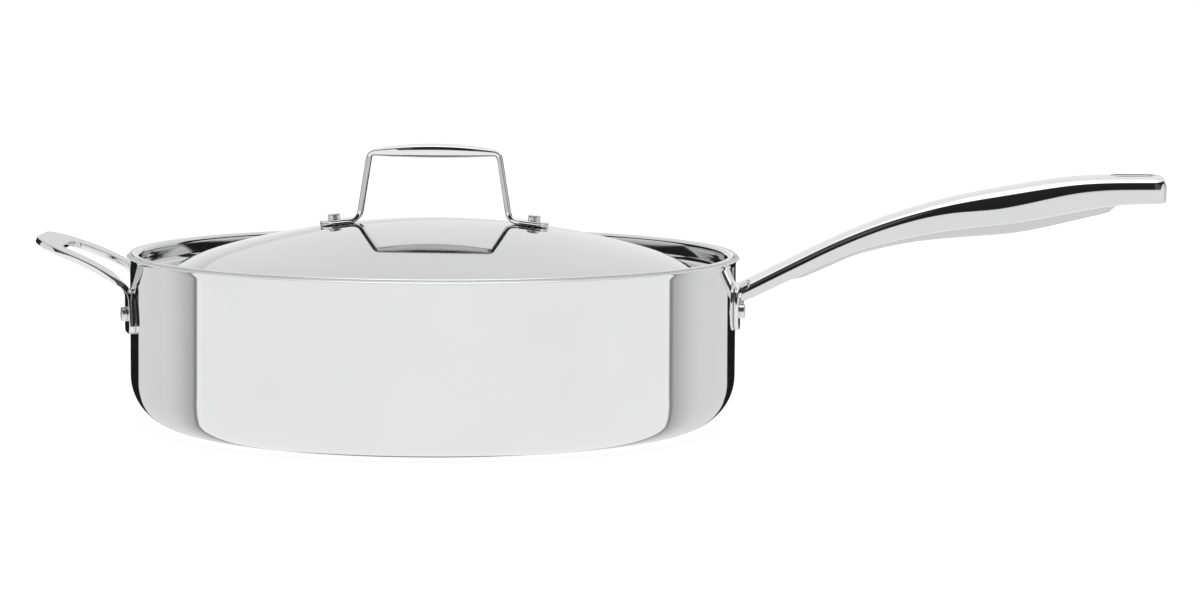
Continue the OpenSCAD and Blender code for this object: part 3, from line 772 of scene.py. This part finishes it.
# %% Plate on the wall
PLATE_LOW, PLATE_HIGH, PLATE_HALF = 49.4, 71.4, 22
PLATE_T, PLATE_CORNER, STRIP = 2.4, 7, 2
put_down()
bpy.ops.mesh.primitive_plane_add(size=MM, rotation=(0, pi / 2, 0),
                                 location=(150 * MM, 0, (PLATE_LOW + PLATE_HIGH) / 2 * MM))
plate = bpy.context.object
plate.name = plate.data.name = "bracket"
plate.scale = (PLATE_HIGH - PLATE_LOW, 2 * PLATE_HALF, 1)
bpy.ops.object.transform_apply()
open_up(plate)
bpy.ops.mesh.bevel(offset=PLATE_CORNER * MM, segments=8, affect="VERTICES")
for k in range(-10, 11):
    bpy.ops.mesh.select_all(action="SELECT")
    bpy.ops.mesh.bisect(plane_co=(0, STRIP * k * MM, 0), plane_no=(0, 1, 0))
press_on_wall(plate)
close_up(plate)
look_along_x(plate)
thicken(plate, PLATE_T, 1)
soften(plate, 0.8, 4)


# %% Neck and tongue
def neck_stations(start, stop, steps, inset):
    """Stations of the solid neck, from the wall into the shells."""
    found = []
    for k in range(steps + 1):
        x = start + (stop - start) * k / steps
        top, low = on_line(top_line, x) - inset, on_line(seam_line, x) + inset
        found.append((x, (top + low) / 2, 0, on_line(width_line, x) - inset, (top - low) / 2))
    return found


TONGUE_L, TONGUE_INSET = 20, 1.9
neck = close_up(forge("neck", oval(3.4, 40), neck_stations(151, HANDLE_START + 0.3, 4, 0)))
tongue = close_up(forge("tongue", oval(4, 40), neck_stations(
    HANDLE_START - 2, HANDLE_START + TONGUE_L, 6, TONGUE_INSET)))
take(plate)
neck.select_set(True)
tongue.select_set(True)
bpy.ops.object.join()
smooth(plate, CUT_PIECE_ANGLE)
dress(plate, bar_steel)
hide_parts("handle_bracket")
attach(plate, "pan")
print("bracket, faces:", len(plate.data.polygons))

# %% [markdown]
# ## The helper handle
#
# The helper is a plate with a big slot, bent out from two feet on the wall. It is laid
# out flat, as a blank, with the feet pointing down and the grip at the far end. Then it
# is bent a little at a time: everything beyond each bend line is turned about it. Before
# the bending the feet are pressed onto the round wall, and last the blank gets its
# thickness. Modelled in its bent shape, its slot and outline would be hard to keep even.

# %% Side line of the helper as lengths and slopes
ARM_FROM, FOOT_MIDDLE, FOOT_DROP = 4.2, 36, 38.5
FOOT_X = sqrt(PAN_R ** 2 - FOOT_MIDDLE ** 2)
HELPER_T = 2.8
BEND_LOW, BEND_ROUND, BEND_TURN = -22, 10, 54
ARM_LENGTH, ARM_PARTS = 46.22, 26
helper_line = [(ARM_FROM, -14), (8.2, -11.3), (12.2, -8.8), (20.2, -4.6), (28.2, -1.1),
               (36.2, 1.9), (44.2, 4.9), (54, 8.7)]
side = [(0.0, -FOOT_DROP), (0.0, -34), (0.0, -29), (0.0, -25), (0.0, BEND_LOW)]
side += [(BEND_ROUND * (1 - cos(radians(a))), BEND_LOW + BEND_ROUND * sin(radians(a)))
         for a in (9, 18, 27, 36, 45, BEND_TURN)]
side += [(e, on_line(helper_line, e))
         for e in [ARM_FROM + ARM_LENGTH * k / ARM_PARTS for k in range(1, ARM_PARTS + 1)]]
reach = [0.0]
for (e0, z0), (e1, z1) in zip(side, side[1:]):
    reach.append(reach[-1] + hypot(e1 - e0, z1 - z0))
slopes = [degrees(atan2(z1 - z0, e1 - e0)) for (e0, z0), (e1, z1) in zip(side, side[1:])]
print("helper blank is", round(reach[-1], 1), "mm long")


# %% Outline and slot of the loop
SLOT = {"half": 26.2, "taper": radians(14.5), "r": 7.3, "end": 37.52}
LOOP = {"half": 39.9, "taper": radians(8.5), "r": 24, "end": 50.2}
foot_outer = [(-38, 50), (-22, 45.3), (-14, LOOP["half"])]
foot_inner = [(-38, 27), (-20, 27), (-14, SLOT["half"])]


def edge_point(t, half, taper, r, end):
    """Edge of the loop at share t: along the arm up to share 1, then round the corner."""
    cx, cy = end - r, half - (end - r - ARM_FROM) * tan(taper) - r / cos(taper)
    turn = taper if t <= 1 else taper + (pi / 2 - taper) * (t - 1)
    sx, sy = cx + r * sin(taper), cy + r * cos(taper)
    if t <= 1:
        return (ARM_FROM + t * (sx - ARM_FROM), half + t * (sy - half))
    return (cx + r * sin(turn), cy + r * cos(turn))


def length_at(e, z=None):
    """Length along the blank for a distance e out, or for a height z on the feet."""
    for i, ((e0, z0), (e1, z1)) in enumerate(zip(side, side[1:])):
        if z is not None and z0 <= z <= z1:
            return reach[i] + (reach[i + 1] - reach[i]) * (z - z0) / (z1 - z0)
        if z is None and e1 > e0 and e0 <= e <= e1:
            return reach[i] + (reach[i + 1] - reach[i]) * (e - e0) / (e1 - e0)
    return reach[-1] + (e - side[-1][0]) / cos(radians(slopes[-1]))


# %% Rows of the blank, each from its inner to its outer edge
FOOT_CORNER = 5
ARM_ROWS, CORNER_ROWS = 8, 14
foot_heights = (-FOOT_DROP, -38.2, -37.4, -36, -34.5, -33, -29, -25, -22, -20.4, -18.9,
                -17.5, -16.2, -15, -14)
rows = []
for z in foot_heights:
    s = length_at(0, z)
    into = max(0.0, FOOT_CORNER - (z + FOOT_DROP))
    corner = FOOT_CORNER - sqrt(max(0.0, FOOT_CORNER ** 2 - into ** 2))
    rows.append(((s, on_line(foot_inner, z) + corner), (s, on_line(foot_outer, z) - corner)))
for k in range(1, ARM_ROWS + CORNER_ROWS + 1):
    t = k / ARM_ROWS if k <= ARM_ROWS else 1 + (k - ARM_ROWS) / CORNER_ROWS
    p, q = edge_point(t, **SLOT), edge_point(t, **LOOP)
    rows.append(((length_at(p[0]), p[1]), (length_at(q[0]), q[1])))
for y in (6, 0):
    rows.append(((length_at(SLOT["end"]), y), (length_at(LOOP["end"]), y)))
print("helper rows:", len(rows))

# %% Cut the blank out, row by row
COLUMNS = (0, 0.24, 0.5, 0.76, 1)
FOOT_Z = PAN_H - FOOT_DROP
WALL_GAP = 0.04


def upright(s, y):
    """The blank stands on the wall, so its length runs up."""
    return (-FOOT_X - WALL_GAP, y, FOOT_Z + s)


(s0, y0), (s1, y1) = rows[0]
helper = draw("helper", [upright(s0 + (s1 - s0) * c, y0 + (y1 - y0) * c) for c in COLUMNS])
for (a, b), (p, q) in zip(rows, rows[1:]):
    old, new = (Vector(b) - Vector(a)), (Vector(q) - Vector(p))
    shift = (Vector(p) + Vector(q) - Vector(a) - Vector(b)) / 2
    at = Vector(upright(*((Vector(p) + Vector(q)) / 2))) * MM
    pull(0, shift.y, shift.x)
    swing(at, "X", degrees(atan2(old.x, old.y) - atan2(new.x, new.y)))
    grow(at, 1, new.length / old.length, new.length / old.length)
bpy.ops.mesh.select_all(action="SELECT")
bpy.ops.mesh.remove_doubles(threshold=SAME_PLACE)
inner_y, outer_y = foot_inner[0][1] + 0.1, foot_outer[0][1] - 0.1
pick(helper, lambda x, y, z: z < FOOT_Z + 0.01 and (y < inner_y or y > outer_y))
bpy.ops.mesh.bevel(offset=FOOT_CORNER * MM, segments=6, affect="VERTICES")
bpy.ops.object.mode_set(mode="OBJECT")
print("blank reaches", [round(max(v.co[i] for v in helper.data.vertices) / MM, 1)
                        for i in (1, 2)])

# %% Press the feet round, while the blank is still straight
ROUND_TO, GRIP_OUT = 12, 50
weight = helper.vertex_groups.new(name="foot")
for vertex in helper.data.vertices:
    s = vertex.co.z / MM - FOOT_Z
    e = next((a[0] + (b[0] - a[0]) * (s - r0) / (r1 - r0) for a, b, r0, r1 in
              zip(side, side[1:], reach, reach[1:]) if r0 <= s <= r1), GRIP_OUT)
    weight.add([vertex.index], max(0.0, 1 - e / ROUND_TO), "REPLACE")
press_on_wall(helper, "foot")
bpy.data.objects.remove(former)

# %% Bend it, line by line
open_up(helper)
for (e, z), before, after in zip(side[1:], slopes, slopes[1:]):
    if abs(after - before) < 0.01:
        continue
    c, s = cos(radians(before)), sin(radians(before))
    pick(helper, lambda px, py, pz: (-px - FOOT_X - e) * c + (pz - PAN_H - z) * s > 0.01)
    swing(Vector((-(FOOT_X + e), 0, PAN_H + z)) * MM, "Y", before - after)
bpy.ops.object.mode_set(mode="OBJECT")

# %% Mirror, thicken and round the helper
mirror = helper.modifiers.new("other_half", "MIRROR")
mirror.use_axis = (False, True, False)
mirror.merge_threshold = 0.01 * MM
apply_all(helper)
close_up(helper)
look_along_x(helper)
thicken(helper, HELPER_T)
soften(helper, 0.4, 3)
smooth(helper, CUT_PIECE_ANGLE)
# Painted shade: the helper's flat faces, above and below, get a darker copy of the steel, and its
# cut edges the paler one
dress(helper, helper_top_shade_steel, bar_steel)
for face in helper.data.polygons:
    face.material_index = 0 if abs(face.normal.z) > 0.55 else 1
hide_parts("helper_handle")
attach(helper, "pan")
print("helper box", in_mm(helper.bound_box)[::6])

# %% [markdown]
# ## Rivets
#
# Solid steel rivets with a low head on the inside and a taller one outside. A bevelled
# cylinder would do for one head, but a rivet has two and a shank, so it is turned like
# the pan. One wall rivet is copied for each handle, and so is the lid's, which has a
# small centre mark in its head.

# %% Turn a rivet
HEAD_EDGE = 0.7


def rivet(name, head_r, head_h, low_r, low_h, shank_r, grip, mark=0.0):
    """Low head from 0 to low_h, shank through grip, round head on top, all along Z."""
    top = low_h + grip + head_h
    low = [(low_r * sin(radians(a)), low_h * 0.75 * (1 - cos(radians(a))))
           for a in range(0, 91, 10)]
    shank = [(low_r, low_h - 0.1), (shank_r, low_h - 0.1), (shank_r, low_h + grip)]
    head = ([(head_r, low_h + grip)]
            + arc((head_r - HEAD_EDGE, top - HEAD_EDGE), HEAD_EDGE, 0, 90, 5)
            + [(head_r - 2 * HEAD_EDGE, top + 0.06)])
    centre = [(0, top + 0.1)]
    if mark:
        centre = [(mark * 1.2, top + 0.08), (mark * 0.7, top - 0.25), (0, top - 0.45)]
    return turned(name, low + shank + head + centre, steps=48)


# %% Copy it and set it in place
def set_rivet(piece, node, body, matrix):
    """Moves a rivet to its place and leaves its object at the origin."""
    take(piece)
    piece.matrix_world = matrix
    bpy.ops.object.transform_apply()
    dress(piece, rivet_steel)
    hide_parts(node)
    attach(piece, body)


def copy_of(piece, name):
    """A copy with its own mesh."""
    take(piece)
    bpy.ops.object.duplicate(linked=False)
    made = bpy.context.object
    made.name = made.data.name = name
    return made


# %% Set the four wall rivets
WALL_RIVET = {"head_r": 3.6, "head_h": 2.6, "low_r": 6, "low_h": 1.5, "shank_r": 2.5}
BRACKET_RIVET_Y, BRACKET_RIVET_Z = 12, 58.8
HELPER_RIVET_Y, HELPER_RIVET_Z, FOOT_GAP = 38, 57.5, 0.06


def on_wall(turn, z):
    """Local Z points out of the wall at a turn about the axis; 0 is the low head's face."""
    inside = PAN_R - SHEET_T - WALL_RIVET["low_h"]
    return (Matrix.Rotation(radians(turn), 4, "Z")
            @ Matrix.Translation((inside * MM, 0, z * MM)) @ Matrix.Rotation(pi / 2, 4, "Y"))


bracket_turn = degrees(asin(BRACKET_RIVET_Y / (PAN_R + PLATE_T)))
helper_turn = degrees(asin(HELPER_RIVET_Y / (PAN_R + HELPER_T)))
first = rivet("rivet_handle_near", **WALL_RIVET, grip=SHEET_T + PLATE_T)
second = copy_of(first, "rivet_handle_far")
set_rivet(first, "handle_rivet_near", "pan", on_wall(-bracket_turn, BRACKET_RIVET_Z))
set_rivet(second, "handle_rivet_far", "pan", on_wall(bracket_turn, BRACKET_RIVET_Z))
third = rivet("rivet_helper_near", **WALL_RIVET, grip=SHEET_T + HELPER_T + FOOT_GAP)
fourth = copy_of(third, "rivet_helper_far")
set_rivet(third, "helper_rivet_near", "pan", on_wall(180 + helper_turn, HELPER_RIVET_Z))
set_rivet(fourth, "helper_rivet_far", "pan", on_wall(180 - helper_turn, HELPER_RIVET_Z))

# %% Set the two lid rivets
LID_RIVET = {"head_r": 3.1, "head_h": 2.8, "low_r": 4.2, "low_h": 1.05, "shank_r": 2}
LID_RIVET_X = 50


def on_dome(side):
    """Local Z is square to the dome at a rivet; 0 is the face of the low head under it."""
    under = CAP_R - LID_T - LID_RIVET["low_h"]
    return (Matrix.Translation((0, 0, CAP_AT[1] * MM))
            @ Matrix.Rotation(side * asin(LID_RIVET_X / CAP_R), 4, "Y")
            @ Matrix.Translation((0, 0, under * MM)))


left = rivet("rivet_lid_left", **LID_RIVET, grip=LID_T + BAIL_GAP + BAIL_T, mark=0.7)
other = copy_of(left, "rivet_lid_right")
set_rivet(left, "lid_rivet_left", "lid", on_dome(-1))
set_rivet(other, "lid_rivet_right", "lid", on_dome(1))

# %% [markdown]
# ## Studio
#
# Polished steel is lit by what it mirrors, so the studio is a world whose brightness
# goes by direction. Each card is placed by the tilt of the steel that mirrors it along
# the photograph's line of sight: upright steel shows a pale table, grey cards from 51
# degrees on and a black gap at its outline, steel that leans back a little shows the
# dark room, and steel that lies flatter shows the ceiling. The camera sees plain white.
# Cards on planes could do the same, but each would need its own size and place.

# %% Node helpers
world = bpy.context.scene.world or bpy.data.worlds.new("studio")
bpy.context.scene.world = world
world.use_nodes = True
tree = world.node_tree
tree.nodes.clear()
link = tree.links.new


def calc(operation, a, b=None, c=None):
    """A math node on values or outputs."""
    made = add(tree, "ShaderNodeMath", operation=operation)
    for socket, value in zip(made.inputs, (a, b, c)):
        if hasattr(value, "is_output"):
            link(value, socket)
        elif value is not None:
            socket.default_value = value
    return made.outputs[0]


def ramp(value, stops):
    """Greys along a value from 0 to 1."""
    made = add(tree, "ShaderNodeValToRGB")
    link(value, made.inputs[0])
    marks = made.color_ramp.elements
    while len(marks) < len(stops):
        marks.new(0.5)
    for mark, (at, grey) in zip(marks, stops):
        mark.position, mark.color = at, (grey, grey, grey, 1)
    return made.outputs[0]


def step(value, low, high):
    """0 below low and 1 above high, smooth between."""
    made = add(tree, "ShaderNodeMapRange", interpolation_type="SMOOTHSTEP",
               From_Min=low, From_Max=high)
    link(value, made.inputs["Value"])
    return made.outputs[0]


def blend(share, a, b):
    """a where share is 0 and b where it is 1."""
    return calc("MULTIPLY_ADD", share, calc("SUBTRACT", b, a), a)


# %% Tilt of the steel that mirrors a direction
SIGHT_Y, SIGHT_Z, SIGHT_FLAT = 0.9895, -0.113, 0.992
TINY = 0.0001
towards = add(tree, "ShaderNodeTexCoord")
axes = add(tree, "ShaderNodeSeparateXYZ")
link(towards.outputs["Generated"], axes.inputs[0])
dx, dy, dz = axes.outputs
# The line of sight swings a little from the pan's left side to its right
sight_x = calc("MULTIPLY_ADD", dx, 0.058, -0.067)
mx = calc("SUBTRACT", dx, sight_x)
my = calc("SUBTRACT", dy, SIGHT_Y)
mz = calc("SUBTRACT", dz, SIGHT_Z)
flat_length = calc("SQRT", calc("MULTIPLY_ADD", mx, mx, calc("MULTIPLY", my, my)))
length = calc("SQRT", calc("MULTIPLY_ADD", mz, mz, calc("MULTIPLY", flat_length, flat_length)))
# lean is 1 where the steel lies flat and faces up, and -1 where it faces down
lean = calc("DIVIDE", mz, calc("MAXIMUM", length, TINY))
leans_under = calc("MULTIPLY", lean, -1.0)
# facing is 1 where upright steel faces the camera, and 0 where it is seen edge on
facing = calc("MULTIPLY_ADD", mx, sight_x, calc("MULTIPLY", my, SIGHT_Y))
facing = calc("DIVIDE", facing, calc("MULTIPLY", calc("MAXIMUM", flat_length, TINY), -SIGHT_FLAT))


# %% Upright steel: table, cards and gap
def turned_by(angle):
    """Place on the ramp of upright steel turned so many degrees from the camera."""
    return cos(radians(angle))


# Where the wall turns under, the table's edge moves round, so that it still runs straight
# down in the picture
wider = ramp(leans_under, [(0, 0), (0.3, 0.005), (0.5, 0.0135), (0.6, 0.022), (0.7, 0.02),
                           (0.85, 0), (1, 0)])
table_card, edge_dark = 0.966, 0.27
cards = ramp(calc("ADD", facing, wider), [
    (0, 0.77), (turned_by(62), 0.77), (turned_by(60), 0.745), (turned_by(58.8), 0.72),
    (turned_by(57.2), 0.68), (turned_by(55.6), 0.62), (turned_by(54), 0.55),
    (turned_by(52.5), 0.475), (turned_by(51.9), edge_dark), (turned_by(51.3), edge_dark),
    (turned_by(51.1), 1.0), (turned_by(50.2), 1.0), (turned_by(49.4), table_card),
    (1, table_card)])
gap_edge = ramp(calc("MULTIPLY_ADD", lean, 0.5, 0.5), [
    (0, 0), (0.16, 0.07), (0.2, 0.16), (0.25, 0.215), (0.35, 0.245), (0.5, 0.25),
    (0.53, 0.255), (1, 0.255)])
gap = step(calc("SUBTRACT", gap_edge, facing), -0.004, 0.004)
table = blend(gap, cards, 0.012)
table = blend(step(leans_under, 0.94, 0.96), table, 0.2)

# %% Ceiling, for steel that lies flatter
CEILING_LIGHT = 2.0
ceiling = ramp(dz, [(0, 0.48), (0.04, 0.46), (0.1, 0.455), (0.25, 0.45), (0.85, 0.455),
                    (0.93, 0.6), (0.97, 0.85), (1, 0.85)])
ceiling = calc("MULTIPLY", ceiling, CEILING_LIGHT)
# A seam between two ceiling cards draws the pale crescent on the left of the dome
past_seam = calc("ADD", calc("ADD", dz, dx), 0.46)
seam = ramp(past_seam, [(0, 1), (0.37, 1), (0.45, 0.91), (0.497, 0.81), (0.503, 1.0), (1, 1)])
ceiling = calc("MULTIPLY", ceiling, seam)

# %% Dark room, for steel that leans back a little
DARK, CORNER_GREY, CARD_GREY = 0.02, 0.1, 0.78
across = calc("ABSOLUTE", dx)
to_left = calc("MULTIPLY", dx, -1.0)
to_front = calc("MULTIPLY", dy, -1.0)
near_corners = calc("MULTIPLY", step(across, 0.17, 0.22), step(to_front, 0.5, 0.6))
room = blend(near_corners, DARK, CORNER_GREY)
# Two cards far out at the sides light the groove, which mirrors them by way of the lid
side_card = step(across, 0.86, 0.89)
far_card = calc("MULTIPLY", step(dx, 0.2, 0.3), step(dy, 0.6, 0.64))
room = blend(calc("MAXIMUM", side_card, far_card), room, CARD_GREY)

# %% Put them together by lean
leans_back = step(lean, 0.61, 0.67)
overhead = blend(leans_back, room, ceiling)
# To the sides the pale table reaches a little higher
sideways = calc("MAXIMUM", step(dx, 0.8, 0.86), step(to_left, 0.26, 0.3))
over_table = step(calc("MULTIPLY_ADD", sideways, -0.11, lean), 0.03, 0.055)
brightness = blend(over_table, table, overhead)

# %% The camera sees white
rays = add(tree, "ShaderNodeLightPath")
seen = calc("MAXIMUM", rays.outputs["Is Camera Ray"], rays.outputs["Is Transmission Ray"])
background = add(tree, "ShaderNodeBackground", Color=(1, 1, 1, 1))
link(blend(seen, brightness, 1.0), background.inputs["Strength"])
output = add(tree, "ShaderNodeOutputWorld")
link(background.outputs[0], output.inputs[0])
print("world nodes:", len(tree.nodes))

# %% [markdown]
# The floor is a plain pale plane. It looks white to the camera and still takes the
# pan's soft shadow; in mirrors it steps aside, so that the steel shows the studio. A
# shadow catcher could do this too, but it leaves a hole in the picture to be filled.

# %% Floor
put_down()
bpy.ops.mesh.primitive_plane_add(size=40, location=(0, 0, -0.05 * MM))
floor = bpy.context.object
floor.name = "floor"
paper = bpy.data.materials.new("pale_floor")
paper.use_nodes = True
tree = paper.node_tree
tree.nodes.clear()
link = tree.links.new
rays = add(tree, "ShaderNodeLightPath")


def by_ray(kind, others, these):
    """One shader for the rays of a kind and another for all others."""
    made = add(tree, "ShaderNodeMixShader")
    for socket, value in zip(made.inputs, (rays.outputs[kind], others, these)):
        link(value, socket)
    return made.outputs[0]


# %% Finish of the floor
matt = add(tree, "ShaderNodeBsdfDiffuse", Color=(0.85, 0.85, 0.85, 1))
thin_matt = add(tree, "ShaderNodeBsdfDiffuse", Color=(0.3, 0.3, 0.3, 1))
glow = add(tree, "ShaderNodeEmission", Color=(1, 1, 1, 1), Strength=0.86)
clear = add(tree, "ShaderNodeBsdfTransparent", Color=(1, 1, 1, 1))
shown = add(tree, "ShaderNodeAddShader")
link(thin_matt.outputs[0], shown.inputs[0])
link(glow.outputs[0], shown.inputs[1])
by_camera = by_ray("Is Camera Ray", matt.outputs[0], shown.outputs[0])
by_mirror = by_ray("Is Glossy Ray", by_camera, clear.outputs[0])
output = add(tree, "ShaderNodeOutputMaterial")
link(by_mirror, output.inputs[0])
dress(floor, paper)

# %% [markdown]
# One large lamp above stands for the softbox over the table. It gives the satin inside
# and the floor their light from above. A sun lamp would do so too, but its shadow would
# have a hard edge. The mirrors don't show it, because the world is their studio.

# %% Overhead softbox
put_down()
bpy.ops.object.light_add(type="AREA", location=(0, -0.3, 1.8))
lamp = bpy.context.object
lamp.name = "softbox"
lamp.data.shape = "RECTANGLE"
lamp.data.size, lamp.data.size_y, lamp.data.energy = 1.6, 1.2, 8
lamp.visible_glossy = False

# %% [markdown]
# ## View settings

# The dressed pan has to stay inside the box of the CAD model.

# %% View settings
bpy.context.scene.view_settings.view_transform = "Standard"
